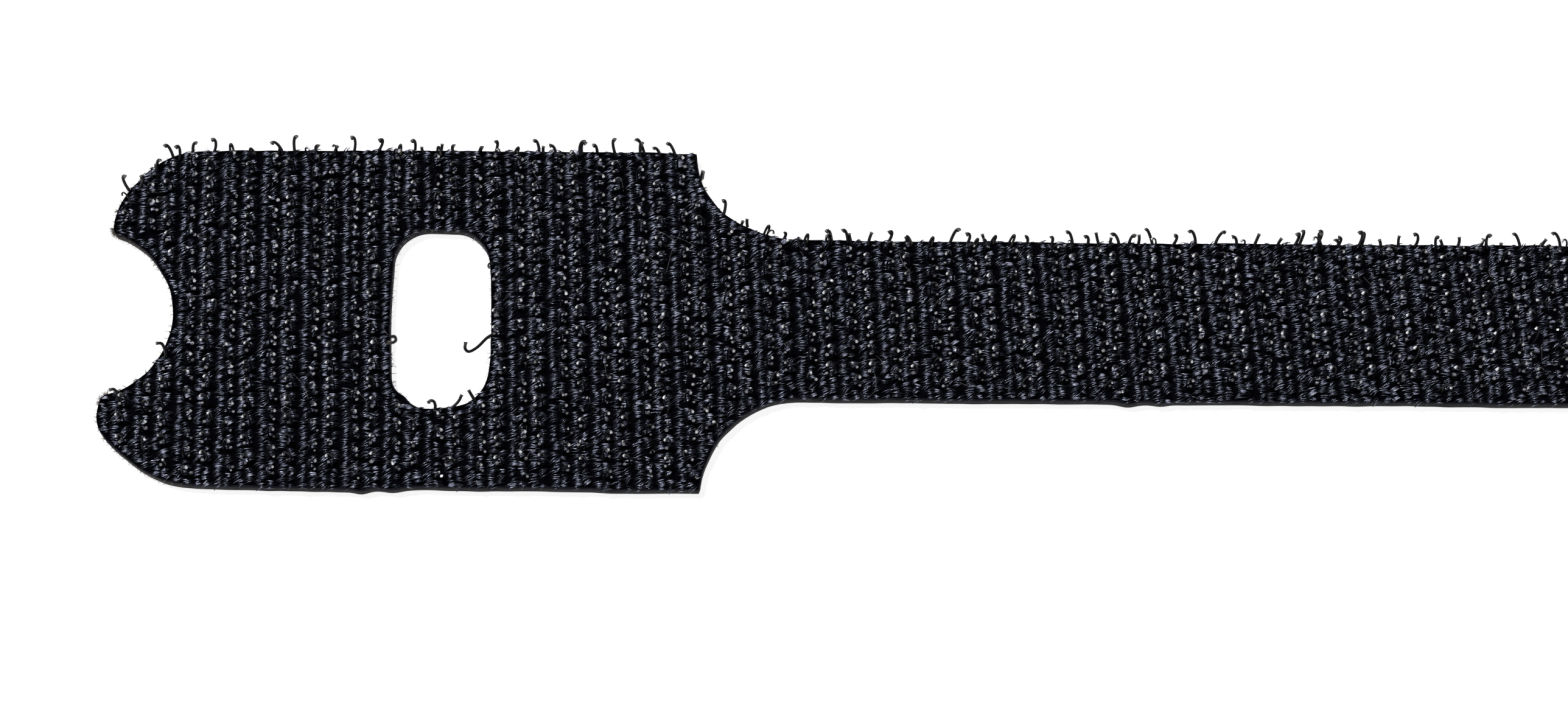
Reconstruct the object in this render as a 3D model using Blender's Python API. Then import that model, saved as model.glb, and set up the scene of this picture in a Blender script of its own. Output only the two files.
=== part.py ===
"""Hook and loop cable tie, die-cut from two tapes bonded back to back.

The tie lies flat on its loop face with the hooks up: the slotted head points
to -X, the strap runs to its round tail at +X, and +Z is up.  The origin is
under the middle of the tie, on the surface that it lies on.  All lengths are
in metres.  The part is two solids: loop_tape below, and hook_tape above it,
which is a ribbed woven ground with its monofilament hooks.
"""

import math

import bmesh
import bpy

# Outline of the cut, seen from above
TIE_LENGTH = 0.200
STRAP_WIDTH = 0.012
HEAD_LENGTH = 0.0414
HEAD_WIDTH = 0.0254
HEAD_CORNER_RADIUS = 0.0059

# Fishtail notch in the end of the head, and the two tips beside it
NOTCH_DEPTH = 0.0048
NOTCH_RADIUS = 0.0064
TIP_RADIUS = 0.0006

# Slot that the strap is threaded through
SLOT_FROM_END = 0.0235
SLOT_WIDTH = 0.00705
SLOT_LENGTH = 0.0138
SLOT_CORNER_RADIUS = 0.0027

# The two tapes and the ribs of the woven one
LOOP_TAPE_THICKNESS = 0.00065
HOOK_TAPE_THICKNESS = 0.00055
RIB_PITCH = 0.000725
GROOVE_DEPTH = 0.00018
WEAVE_SKEW = math.radians(3.0)

# Hooks: rows along the ribs, each with its hooks turned against the next row
RIBS_PER_HOOK_ROW = 4
HOOK_PITCH = 0.0034
HOOK_HEIGHT = 0.00145
HOOK_REACH = 0.0007
HOOK_DROP = 0.0006
HOOK_ROOT = 0.0002
MONOFILAMENT = 0.00024
HOOK_EDGE_MARGIN = 0.0003
HOOK_SEAT_MARGIN = 0.00006

# Facets
ARC_STEP = math.radians(9.0)
FILAMENT_SIDES = 3

CUTTER_OVERLAP = 0.001
HEAD_END = -TIE_LENGTH / 2
TAIL_END = TIE_LENGTH / 2
CLOTH_TOP = HOOK_TAPE_THICKNESS


def clear_scene():
    """Remove every object that the scene starts with."""
    for obj in list(bpy.data.objects):
        bpy.data.objects.remove(obj, do_unlink=True)


def cloth_material(name, colour, roughness):
    """A plain dyed nylon."""
    material = bpy.data.materials.new(name)
    material.use_nodes = True
    shader = material.node_tree.nodes["Principled BSDF"]
    shader.inputs["Base Color"].default_value = (*colour, 1.0)
    shader.inputs["Roughness"].default_value = roughness
    shader.inputs["Metallic"].default_value = 0.0
    return material


def arc(centre_x, centre_y, radius, start, end):
    """Points along an arc from one angle to another, both ends included."""
    steps = max(2, math.ceil(abs(end - start) / ARC_STEP))
    angles = [start + (end - start) * step / steps for step in range(steps + 1)]
    return [(centre_x + radius * math.cos(a), centre_y + radius * math.sin(a)) for a in angles]


def cut_outline():
    """The tie's outer edge, from the bottom of the notch round to the tail and back."""
    half_head = HEAD_WIDTH / 2
    half_strap = STRAP_WIDTH / 2
    notch_x = HEAD_END + NOTCH_DEPTH - NOTCH_RADIUS
    tip_x = HEAD_END + TIP_RADIUS
    tip_y = math.sqrt((NOTCH_RADIUS + TIP_RADIUS) ** 2 - (tip_x - notch_x) ** 2)
    tip_angle = math.atan2(tip_y, tip_x - notch_x)
    corner = min(HEAD_CORNER_RADIUS, half_head - tip_y)
    shoulder_x = HEAD_END + HEAD_LENGTH
    shoulder = half_head - half_strap

    upper = arc(notch_x, 0.0, NOTCH_RADIUS, 0.0, tip_angle)
    upper += arc(tip_x, tip_y, TIP_RADIUS, tip_angle + math.pi, math.pi)[1:]
    upper += arc(HEAD_END + corner, half_head - corner, corner, math.pi, math.pi / 2)
    upper += arc(shoulder_x + shoulder, half_head, shoulder, math.pi, 1.5 * math.pi)
    upper += arc(TAIL_END - half_strap, 0.0, half_strap, math.pi / 2, 0.0)
    lower = [(x, -y) for x, y in reversed(upper[1:-1])]
    return upper + lower


def slot_outline():
    """The slot's edge, a rectangle with rounded corners."""
    centre_x = HEAD_END + SLOT_FROM_END
    radius = min(SLOT_CORNER_RADIUS, SLOT_WIDTH / 2, SLOT_LENGTH / 2)
    side_x = SLOT_WIDTH / 2 - radius
    side_y = SLOT_LENGTH / 2 - radius
    points = []
    for quarter, (sign_x, sign_y) in enumerate([(1, 1), (-1, 1), (-1, -1), (1, -1)]):
        start = quarter * math.pi / 2
        points += arc(centre_x + sign_x * side_x, sign_y * side_y, radius, start, start + math.pi / 2)
    return points


def add_object(name, mesh_builder, material=None):
    """Turn a bmesh with outward faces into a named object in the scene."""
    bmesh.ops.recalc_face_normals(mesh_builder, faces=mesh_builder.faces)
    mesh = bpy.data.meshes.new(name)
    mesh_builder.to_mesh(mesh)
    mesh_builder.free()
    obj = bpy.data.objects.new(name, mesh)
    bpy.context.collection.objects.link(obj)
    if material:
        mesh.materials.append(material)
    return obj


def prism(name, outline, bottom, top, material=None):
    """A flat outline raised into a solid between two heights."""
    builder = bmesh.new()
    floor = builder.faces.new([builder.verts.new((x, y, bottom)) for x, y in outline])
    raised = bmesh.ops.extrude_face_region(builder, geom=[floor])["geom"]
    corners = [item for item in raised if isinstance(item, bmesh.types.BMVert)]
    bmesh.ops.translate(builder, verts=corners, vec=(0.0, 0.0, top - bottom))
    return add_object(name, builder, material)


def as_cutter(obj):
    """Keep a shape out of the render: it only cuts or joins."""
    obj.hide_render = True
    obj.display_type = "WIRE"
    return obj


def combine(obj, operation, other):
    """Add a Boolean between an object and another shape."""
    modifier = obj.modifiers.new(f"{operation.lower()}_{other.name}", "BOOLEAN")
    modifier.operation = operation
    modifier.solver = "EXACT"
    modifier.object = other


def ribbed_ground(name, material):
    """The woven ground before it is cut: one long slab with ribs across it.

    A rib that carries hooks has a flat crest for their roots to stand on.
    """
    half_depth = HEAD_WIDTH / 2 + CUTTER_OVERLAP
    lean = half_depth * math.tan(WEAVE_SKEW)
    half_ribs = math.ceil((TIE_LENGTH / 2 + lean + CUTTER_OVERLAP) / RIB_PITCH)
    half_seat = MONOFILAMENT / 2 + HOOK_SEAT_MARGIN
    top = []
    for rib in range(-half_ribs, half_ribs + 1):
        crest_x = rib * RIB_PITCH
        if rib % RIBS_PER_HOOK_ROW == 0:
            top += [(crest_x - half_seat, CLOTH_TOP), (crest_x + half_seat, CLOTH_TOP)]
        else:
            top.append((crest_x, CLOTH_TOP))
        top.append((crest_x + RIB_PITCH / 2, CLOTH_TOP - GROOVE_DEPTH))
    section = [(top[0][0], 0.0), *top, (top[-1][0], 0.0)]

    builder = bmesh.new()
    near = [builder.verts.new((x + lean, -half_depth, z)) for x, z in section]
    far = [builder.verts.new((x - lean, half_depth, z)) for x, z in section]
    builder.faces.new(near)
    builder.faces.new(list(reversed(far)))
    for index in range(len(section)):
        after = (index + 1) % len(section)
        builder.faces.new((near[index], far[index], far[after], near[after]))
    return add_object(name, builder, material)


def hook_path(facing):
    """Centre line of one hook from its root in the cloth up, over and down."""
    crown = CLOTH_TOP + HOOK_HEIGHT - MONOFILAMENT / 2
    return [
        (0.0, CLOTH_TOP - GROOVE_DEPTH - HOOK_ROOT),
        (0.0, crown - HOOK_REACH / 2),
        (facing * HOOK_REACH / 2, crown),
        (facing * HOOK_REACH, crown - HOOK_DROP),
    ]


def add_hook(builder, root_x, root_y, facing):
    """Sweep a round filament along a hook's centre line."""
    path = hook_path(facing)
    rings = []
    for index, (x, z) in enumerate(path):
        before = path[max(index - 1, 0)]
        after = path[min(index + 1, len(path) - 1)]
        run_x, run_z = after[0] - before[0], after[1] - before[1]
        run = math.hypot(run_x, run_z)
        across_x, across_z = -run_z / run, run_x / run
        ring = []
        for side in range(FILAMENT_SIDES):
            angle = 2 * math.pi * side / FILAMENT_SIDES
            in_plane = MONOFILAMENT / 2 * math.cos(angle)
            out_of_plane = MONOFILAMENT / 2 * math.sin(angle)
            point = (root_x + x + across_x * in_plane, root_y + out_of_plane, z + across_z * in_plane)
            ring.append(builder.verts.new(point))
        rings.append(ring)
    builder.faces.new(rings[0])
    builder.faces.new(rings[-1])
    for lower, upper in zip(rings, rings[1:]):
        for side in range(FILAMENT_SIDES):
            after = (side + 1) % FILAMENT_SIDES
            builder.faces.new((lower[side], lower[after], upper[after], upper[side]))


def edge_distance(x, y, outline):
    """Distance from a point to the nearest stretch of a closed outline."""
    nearest = math.inf
    for (ax, ay), (bx, by) in zip(outline, outline[1:] + outline[:1]):
        length_squared = (bx - ax) ** 2 + (by - ay) ** 2
        if length_squared == 0.0:
            continue
        along = ((x - ax) * (bx - ax) + (y - ay) * (by - ay)) / length_squared
        along = min(1.0, max(0.0, along))
        nearest = min(nearest, math.hypot(x - ax - along * (bx - ax), y - ay - along * (by - ay)))
    return nearest


def is_inside(x, y, outline):
    """Whether a point lies within a closed outline."""
    inside = False
    for (ax, ay), (bx, by) in zip(outline, outline[1:] + outline[:1]):
        if (ay > y) != (by > y) and x < ax + (y - ay) * (bx - ax) / (by - ay):
            inside = not inside
    return inside


def is_on_cloth(x, y, outline, slot):
    """Whether a filament fits on the cloth here, clear of the cut edges."""
    margin = HOOK_EDGE_MARGIN + MONOFILAMENT / 2
    if not is_inside(x, y, outline) or is_inside(x, y, slot):
        return False
    return edge_distance(x, y, outline) > margin and edge_distance(x, y, slot) > margin


def hook_places(outline, slot):
    """Root and facing of each hook that has cloth under its root and its tip."""
    row_pitch = RIBS_PER_HOOK_ROW * RIB_PITCH
    half_rows = int(TIE_LENGTH / 2 / row_pitch) + 1
    half_hooks = int(HEAD_WIDTH / 2 / HOOK_PITCH) + 1
    places = []
    for row in range(-half_rows, half_rows + 1):
        facing = 1 if row % 2 else -1
        for hook in range(-half_hooks, half_hooks + 1):
            y = (hook + 0.5 * (row % 2)) * HOOK_PITCH
            x = row * row_pitch - y * math.tan(WEAVE_SKEW)
            tip_x = x + facing * HOOK_REACH
            if is_on_cloth(x, y, outline, slot) and is_on_cloth(tip_x, y, outline, slot):
                places.append((x, y, facing))
    return places


def hook_field(outline, slot):
    """All the hooks as one shape, to be joined to the ground."""
    builder = bmesh.new()
    for x, y, facing in hook_places(outline, slot):
        add_hook(builder, x, y, facing)
    return add_object("hooks_guide", builder)


def make_tie():
    """Cut both tapes to the one outline and lay the hook tape on the loop tape."""
    outline = cut_outline()
    slot = slot_outline()
    above = CLOTH_TOP + CUTTER_OVERLAP
    slot_cutter = as_cutter(prism("slot_cutter", slot, -CUTTER_OVERLAP, above))
    loop_nylon = cloth_material("brushed_loop_nylon", (0.012, 0.012, 0.015), 0.85)
    hook_nylon = cloth_material("woven_hook_nylon", (0.017, 0.018, 0.023), 0.42)

    loop_tape = prism("loop_tape", outline, 0.0, LOOP_TAPE_THICKNESS, loop_nylon)
    combine(loop_tape, "DIFFERENCE", slot_cutter)

    outline_cutter = as_cutter(prism("outline_cutter", outline, -CUTTER_OVERLAP, above))
    hooks_guide = as_cutter(hook_field(outline, slot))
    hook_tape = ribbed_ground("hook_tape", hook_nylon)
    combine(hook_tape, "INTERSECT", outline_cutter)
    combine(hook_tape, "DIFFERENCE", slot_cutter)
    combine(hook_tape, "UNION", hooks_guide)
    for piece in (hook_tape, slot_cutter, outline_cutter, hooks_guide):
        piece.location.z = LOOP_TAPE_THICKNESS


clear_scene()
make_tie()
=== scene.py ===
"""Looks of a slotted hook and loop cable tie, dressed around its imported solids.

The tie is two tapes bonded back to back.  The upper one is a woven ground with
a lattice of glossy yarn floats, monofilament hooks that stand out of it, and a
melted rim where the die cut it.  The lower one has a brushed loop pile.  All
lengths are in metres, in the frame of the solids: the slotted head points to
-X, the strap runs to +X, and +Z is up out of the hook face.
"""

import logging
import math
import random
from collections.abc import Callable
from dataclasses import dataclass
from enum import Enum

import bmesh
import bpy
import numpy as np
from mathutils import Matrix, Vector, noise
from mathutils.geometry import interpolate_bezier


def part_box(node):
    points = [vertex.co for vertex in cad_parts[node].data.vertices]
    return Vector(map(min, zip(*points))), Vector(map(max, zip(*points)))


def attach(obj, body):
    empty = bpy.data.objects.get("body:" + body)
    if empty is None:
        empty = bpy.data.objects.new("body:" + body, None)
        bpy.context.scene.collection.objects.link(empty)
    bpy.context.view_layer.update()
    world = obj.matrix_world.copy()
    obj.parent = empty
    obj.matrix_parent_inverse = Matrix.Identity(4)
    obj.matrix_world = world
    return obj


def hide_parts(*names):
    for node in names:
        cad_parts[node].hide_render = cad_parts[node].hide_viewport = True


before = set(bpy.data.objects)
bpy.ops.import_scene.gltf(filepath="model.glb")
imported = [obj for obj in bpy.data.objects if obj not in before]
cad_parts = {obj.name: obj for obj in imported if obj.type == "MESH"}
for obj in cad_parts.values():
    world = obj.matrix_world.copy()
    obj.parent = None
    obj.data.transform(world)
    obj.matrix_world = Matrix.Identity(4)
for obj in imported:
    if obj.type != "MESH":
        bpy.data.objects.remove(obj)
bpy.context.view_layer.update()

BODY = "root"
HOOK_GROUND = 0.00055
LOG = logging.getLogger("cable_tie")

Place = tuple[float, float]
Range = tuple[float, float]
Colour = tuple[float, float, float]
Piece = bpy.types.Object
Material = bpy.types.Material
Socket = bpy.types.NodeSocket
Number = Socket | float
Width = Callable[[Socket], Socket]

# A Bezier arch rises to three quarters of the height of its two handles.
HANDLE_OVER_CREST = 4 / 3


def settled(name: str, source: Piece) -> Piece:
    """Turn an object with its modifiers into a plain mesh object.

    Args:
        name: the new object's name.
        source: the object to evaluate.

    Returns:
        The new object, at the origin.
    """
    evaluated = source.evaluated_get(bpy.context.evaluated_depsgraph_get())
    mesh = bpy.data.meshes.new_from_object(evaluated)
    mesh.name = name
    piece = bpy.data.objects.new(name, mesh)
    bpy.context.collection.objects.link(piece)
    return piece


class NodeSheet:
    """Adds nodes to one tree and links them, for materials and modifiers alike."""

    def __init__(self, tree: bpy.types.NodeTree) -> None:
        """Keep the tree that the nodes go into."""
        self.tree = tree

    def feed(self, entry: Socket, value: object) -> None:
        """Link another node's socket to an input, or write a plain value into it."""
        if isinstance(value, Socket):
            self.tree.links.new(value, entry)
        else:
            entry.default_value = value

    def add(self, kind: str, inputs: dict | None = None, **settings: object) -> bpy.types.Node:
        """Add one node.

        Args:
            kind: Blender's own name for the node.
            inputs: a value or a socket for each input, by its name or number.
            settings: properties of the node itself.

        Returns:
            The new node.
        """
        node = self.tree.nodes.new(kind)
        for name, value in settings.items():
            setattr(node, name, value)
        for key, value in (inputs or {}).items():
            self.feed(node.inputs[key], value)
        return node

    def maths(self, operation: str, first: Number, second: Number = 0.0, third: Number = 0.0) -> Socket:
        """Add a Math node and return its result."""
        inputs = {0: first, 1: second, 2: third}
        return self.add("ShaderNodeMath", inputs, operation=operation).outputs[0]

    def place(self) -> Socket:
        """Read where a point of the surface lies on its object."""
        return self.add("ShaderNodeTexCoord").outputs["Object"]

    def attribute(self, name: str) -> Socket:
        """Read a number that the mesh carries."""
        return self.add("ShaderNodeAttribute", attribute_name=name).outputs["Fac"]

    def noise(self, place: Socket, size: float, detail: float) -> Socket:
        """Add a noise whose patches are about as wide as the size."""
        inputs = {"Vector": place, "Scale": 1 / size, "Detail": detail}
        return self.add("ShaderNodeTexNoise", inputs).outputs["Fac"]

    def ramp(self, factor: Socket, places: tuple[float, ...], colours: tuple[Colour, ...]) -> Socket:
        """Add a colour ramp.

        Args:
            factor: what the ramp reads.
            places: where each colour stands, from 0 to 1.
            colours: the colours.

        Returns:
            The ramp's colour.
        """
        node = self.add("ShaderNodeValToRGB", {0: factor})
        elements = node.color_ramp.elements
        while len(elements) < len(places):
            elements.new(0.5)
        for element, place, colour in zip(elements, places, colours):
            element.position = place
            element.color = (*colour, 1.0)
        return node.outputs["Color"]


class ShapeTree:
    """A Geometry Nodes tree with named sizes, which runs once and leaves a plain mesh."""

    def __init__(self, name: str) -> None:
        """Start a tree with its geometry sockets."""
        self.tree = bpy.data.node_groups.new(name, "GeometryNodeTree")
        self.tree.interface.new_socket("Guide", in_out="INPUT", socket_type="NodeSocketGeometry")
        self.tree.interface.new_socket("Piece", in_out="OUTPUT", socket_type="NodeSocketGeometry")
        self.sheet = NodeSheet(self.tree)
        self.values: dict[str, float | int] = {}
        self.entry = self.tree.nodes.new("NodeGroupInput")

    def size(self, name: str, value: float) -> Socket:
        """Add a named size to the tree's inputs.

        Args:
            name: the input's name.
            value: its value, in metres, radians or as a share.

        Returns:
            The socket that other nodes read.
        """
        kind = "NodeSocketInt" if isinstance(value, int) else "NodeSocketFloat"
        item = self.tree.interface.new_socket(name, in_out="INPUT", socket_type=kind)
        self.values[item.identifier] = value
        return self.entry.outputs[name]

    def sizes(self, values: dict[str, float]) -> dict[str, Socket]:
        """Add several named sizes to the tree's inputs."""
        return {name: self.size(name, value) for name, value in values.items()}

    def attribute(self, name: str) -> Socket:
        """Read one of the guide's own numbers."""
        node = self.sheet.add("GeometryNodeInputNamedAttribute", {0: name}, data_type="FLOAT")
        return node.outputs[0]

    def mark(self, shape: Socket, name: str, value: Number, domain: str = "POINT") -> Socket:
        """Store a number on a shape's points or copies, where the finish reads it."""
        inputs = {"Geometry": shape, "Name": name, "Value": value}
        kind = "GeometryNodeStoreNamedAttribute"
        return self.sheet.add(kind, inputs, data_type="FLOAT", domain=domain).outputs[0]

    def vector(self, x: Number, y: Number, z: Number) -> Socket:
        """Join three values into a vector."""
        return self.sheet.add("ShaderNodeCombineXYZ", {0: x, 1: y, 2: z}).outputs[0]

    def sweep(self, curve: Socket, sides: int, radius: Socket, scale: Socket | None = None) -> Socket:
        """Sweep a round section along a curve, with closed ends.

        Args:
            curve: the centre line.
            sides: how many faces the section has.
            radius: the section's radius.
            scale: share of the radius along the curve.

        Returns:
            The swept mesh, shaded smooth.
        """
        section = self.sheet.add("GeometryNodeCurvePrimitiveCircle", {0: sides, 4: radius}, mode="RADIUS")
        inputs = {"Curve": curve, "Profile Curve": section.outputs[0], "Fill Caps": True}
        if scale is not None:
            inputs["Scale"] = scale
        swept = self.sheet.add("GeometryNodeCurveToMesh", inputs)
        return self.sheet.add("GeometryNodeSetShadeSmooth", {"Geometry": swept.outputs[0]}).outputs[0]

    def close(self, shape: Socket, material: Material) -> None:
        """End the tree in one real mesh with its finish."""
        real = self.sheet.add("GeometryNodeRealizeInstances", {"Geometry": shape})
        inputs = {"Geometry": real.outputs[0], "Material": material}
        dressed = self.sheet.add("GeometryNodeSetMaterial", inputs)
        leaving = self.tree.nodes.new("NodeGroupOutput")
        self.tree.links.new(dressed.outputs[0], leaving.inputs[0])

    def run(self, name: str, guide: bpy.types.Mesh) -> Piece:
        """Evaluate the tree on a guide mesh.

        Args:
            name: the finished piece's name.
            guide: the points or lines that the tree reads.

        Returns:
            A plain mesh object, with no modifier left on it.
        """
        carrier = bpy.data.objects.new(f"{name}_guide", guide)
        bpy.context.collection.objects.link(carrier)
        modifier = carrier.modifiers.new(name, "NODES")
        modifier.node_group = self.tree
        for identifier, value in self.values.items():
            modifier[identifier] = value
        piece = settled(name, carrier)
        carrier.modifiers.remove(modifier)
        bpy.data.objects.remove(carrier, do_unlink=True)
        return piece


@dataclass(frozen=True)
class Spread:
    """How much copies differ: turn, lean and roll in degrees, and size as a share."""

    turn: float
    lean: float
    roll: float
    size: float

    def sockets(self, tree: ShapeTree) -> dict[str, Socket]:
        """Add the spreads to a tree's named sizes, angles in radians."""
        spreads = {name: math.radians(getattr(self, name)) for name in ("turn", "lean", "roll")}
        spreads["size"] = self.size
        return {name: tree.size(f"{name.capitalize()} spread", value) for name, value in spreads.items()}


@dataclass(frozen=True)
class Drift:
    """A shade that drifts from row to row and along each row."""

    middle: float
    most: float
    row_step: float
    length: float
    layer: float

    def at(self, row: int, y: float) -> float:
        """The shade at a place across the tie on one row."""
        spot = Vector((row * self.row_step, y / self.length, self.layer))
        return self.middle + self.most * noise.noise(spot)


class Scatter(ShapeTree):
    """A tree that sets one small shape on every point, with a seeded jitter.

    The points carry the attributes turn, lean, roll, size and shade.
    """

    def __init__(self, name: str, seed: int) -> None:
        """Start the tree with its seed."""
        super().__init__(name)
        self.seed = self.size("Seed", seed)
        self.streams = 0

    def jitter(self, base: Socket, spread: Number) -> Socket:
        """Add a random amount to a value, different on each point.

        Args:
            base: the value in the middle of the range.
            spread: the most that is added or taken away.

        Returns:
            The changed value.
        """
        self.streams += 1
        own_seed = self.sheet.maths("ADD", self.seed, float(self.streams))
        inputs = {2: -1.0, 3: 1.0, 8: own_seed}
        chance = self.sheet.add("FunctionNodeRandomValue", inputs, data_type="FLOAT").outputs[1]
        return self.sheet.maths("MULTIPLY_ADD", chance, spread, base)

    def strand(
        self, points: list[Socket], segments: int, sides: int, radius: Socket, width: Width | None = None
    ) -> Socket:
        """Sweep a filament or a yarn along one Bezier curve.

        Args:
            points: start, its handle, the end's handle and the end.
            segments: how many straight runs the curve gets.
            sides: how many faces the section has.
            radius: the section's radius.
            width: turns the way along the strand, from 0 to 1, into a share of the radius.

        Returns:
            The swept mesh, whose points know how far along the strand they are.
        """
        inputs = {0: segments, 1: points[0], 2: points[1], 3: points[2], 4: points[3]}
        curve = self.sheet.add("GeometryNodeCurvePrimitiveBezierSegment", inputs, mode="POSITION")
        runs = self.sheet.add("GeometryNodeResampleCurve", {"Curve": curve.outputs[0]}, mode="EVALUATED")
        along = self.sheet.add("GeometryNodeSplineParameter").outputs["Factor"]
        marked = self.mark(runs.outputs[0], "along", along)
        return self.sweep(marked, sides, radius, width(along) if width else None)

    def spindle(self, ends: Socket) -> Width:
        """A strand's width that swells between its two ends, for strand()."""
        def width(along: Socket) -> Socket:
            """Half a sine wave above the width at the ends."""
            arch = self.sheet.maths("SINE", self.sheet.maths("MULTIPLY", along, math.pi))
            return self.sheet.maths("MULTIPLY_ADD", arch, self.sheet.maths("SUBTRACT", 1.0, ends), ends)
        return width

    def flared(self, flare: Socket, start: float) -> Width:
        """A strand's width that flares at its cut end, for strand()."""
        def width(along: Socket) -> Socket:
            """Even width up to the start, then wider towards the end."""
            inputs = {0: along, 1: start, 2: 1.0, 3: 1.0, 4: flare}
            return self.sheet.add("ShaderNodeMapRange", inputs).outputs[0]
        return width

    def joined(self, kind: str, shapes: list[Socket]) -> Socket:
        """Bring several shapes together in one node of the given kind."""
        node = self.sheet.add(kind)
        for shape in shapes:
            self.tree.links.new(shape, node.inputs[0])
        return node.outputs[0]

    def set_on_points(
        self, shapes: list[Socket], spread: Spread, flatten: Number = 1.0, tone_spread: float = 0.5
    ) -> Socket:
        """Set a shape on each point, picked at random from a few.

        Args:
            shapes: the meshes to repeat.
            spread: how much the copies differ.
            flatten: share of the size that is left in height.
            tone_spread: how far a copy's tone may be from its point's shade.

        Returns:
            The instances, which know their own tone.
        """
        spreads = spread.sockets(self)
        turned = {name: self.jitter(self.attribute(name), most) for name, most in spreads.items()}
        points = self.sheet.add("GeometryNodeMeshToPoints", {"Mesh": self.entry.outputs["Guide"]})
        choice = {4: 0, 5: len(shapes) - 1, 8: self.seed}
        tall = self.sheet.maths("MULTIPLY", turned["size"], flatten)
        inputs = {
            "Points": points.outputs[0],
            "Instance": self.joined("GeometryNodeGeometryToInstance", shapes),
            "Pick Instance": True,
            "Instance Index": self.sheet.add("FunctionNodeRandomValue", choice, data_type="INT").outputs[2],
            "Rotation": self.vector(turned["lean"], turned["roll"], turned["turn"]),
            "Scale": self.vector(turned["size"], turned["size"], tall),
        }
        copies = self.sheet.add("GeometryNodeInstanceOnPoints", inputs).outputs[0]
        tone = self.jitter(self.attribute("shade"), tone_spread)
        return self.mark(copies, "tone", tone, domain="INSTANCE")


class Points:
    """Places for repeated pieces, each with its turn, lean, roll, size and shade."""

    NAMES = ("turn", "lean", "roll", "size", "shade")

    def __init__(self) -> None:
        """Start with no points."""
        self.rows: list[tuple[Vector, tuple[float, ...]]] = []

    def put(
        self,
        at: Vector,
        turn: float = 0.0,
        lean: float = 0.0,
        roll: float = 0.0,
        size: float = 1.0,
        shade: float = 0.5,
    ) -> None:
        """Add a point.

        Args:
            at: where the copy's foot is.
            turn: angle about the upright, in radians.
            lean: tilt about the copy's own x axis.
            roll: tilt about the copy's own y axis.
            size: scale of the copy.
            shade: how pale the copy is on the whole, from 0 to 1.
        """
        self.rows.append((at, (turn, lean, roll, size, shade)))

    def mesh(self, name: str) -> bpy.types.Mesh:
        """Make a mesh of loose points that carries the numbers as attributes."""
        mesh = bpy.data.meshes.new(f"{name}_points")
        mesh.from_pydata([tuple(at) for at, _ in self.rows], [], [])
        for column, attribute in enumerate(self.NAMES):
            layer = mesh.attributes.new(attribute, "FLOAT", "POINT")
            layer.data.foreach_set("value", [values[column] for _, values in self.rows])
        return mesh


class Lines:
    """Filaments that each follow a line of their own, swept in one go."""

    def __init__(self) -> None:
        """Start with no lines."""
        self.points: list[Vector] = []
        self.edges: list[tuple[int, int]] = []
        self.marks: dict[str, list[float]] = {"swell": [], "along": [], "tone": []}

    def add(self, line: list[Vector], swells: list[float], tone: float = 0.5, closed: bool = False) -> None:
        """Add a line.

        Args:
            line: its points.
            swells: share of the filament's radius at each point.
            tone: how pale the filament is, from 0 to 1.
            closed: whether the last point joins the first.
        """
        first = len(self.points)
        count = len(line)
        self.points += line
        self.edges += [(first + i, first + i + 1) for i in range(count - 1)]
        if closed:
            self.edges.append((first + count - 1, first))
        self.marks["swell"] += swells
        self.marks["along"] += [i / (count - 1) for i in range(count)]
        self.marks["tone"] += [tone] * count

    def build(
        self, name: str, radius: float, sides: int, material: Material, taller: float = 1.0, lift: float = 0.0
    ) -> Piece:
        """Sweep a round section along every line.

        Args:
            name: the finished piece's name.
            radius: the filament's radius.
            sides: how many faces its section has.
            material: its finish.
            taller: height of the section over its width.
            lift: how far the finished lines are raised.

        Returns:
            The piece.
        """
        mesh = bpy.data.meshes.new(f"{name}_lines")
        mesh.from_pydata([tuple(point) for point in self.points], self.edges, [])
        for mark, values in self.marks.items():
            mesh.attributes.new(mark, "FLOAT", "POINT").data.foreach_set("value", values)
        tree = ShapeTree(name)
        thickness = tree.size("Section radius", radius)
        height = tree.size("Height over width", taller)
        raised = tree.size("Lift", lift)
        curves = tree.sheet.add("GeometryNodeMeshToCurve", {"Mesh": tree.entry.outputs["Guide"]}).outputs[0]
        inputs = {
            "Geometry": tree.sweep(curves, sides, thickness, tree.attribute("swell")),
            "Translation": tree.vector(0.0, 0.0, raised),
            "Scale": tree.vector(1.0, 1.0, height),
        }
        tree.close(tree.sheet.add("GeometryNodeTransform", inputs).outputs[0], material)
        return tree.run(name, mesh)


@dataclass(frozen=True)
class Finish:
    """A named surface, which paints a material of its own."""

    name: str

    def material(self) -> Material:
        """Make the material around its shader."""
        material = bpy.data.materials.new(self.name)
        material.use_nodes = True
        self.paint(NodeSheet(material.node_tree), material.node_tree.nodes["Principled BSDF"].inputs)
        return material

    def paint(self, sheet: NodeSheet, shader: bpy.types.bpy_prop_collection) -> None:
        """Set the shader's inputs, each kind of finish in its own way."""
        raise NotImplementedError


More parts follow.
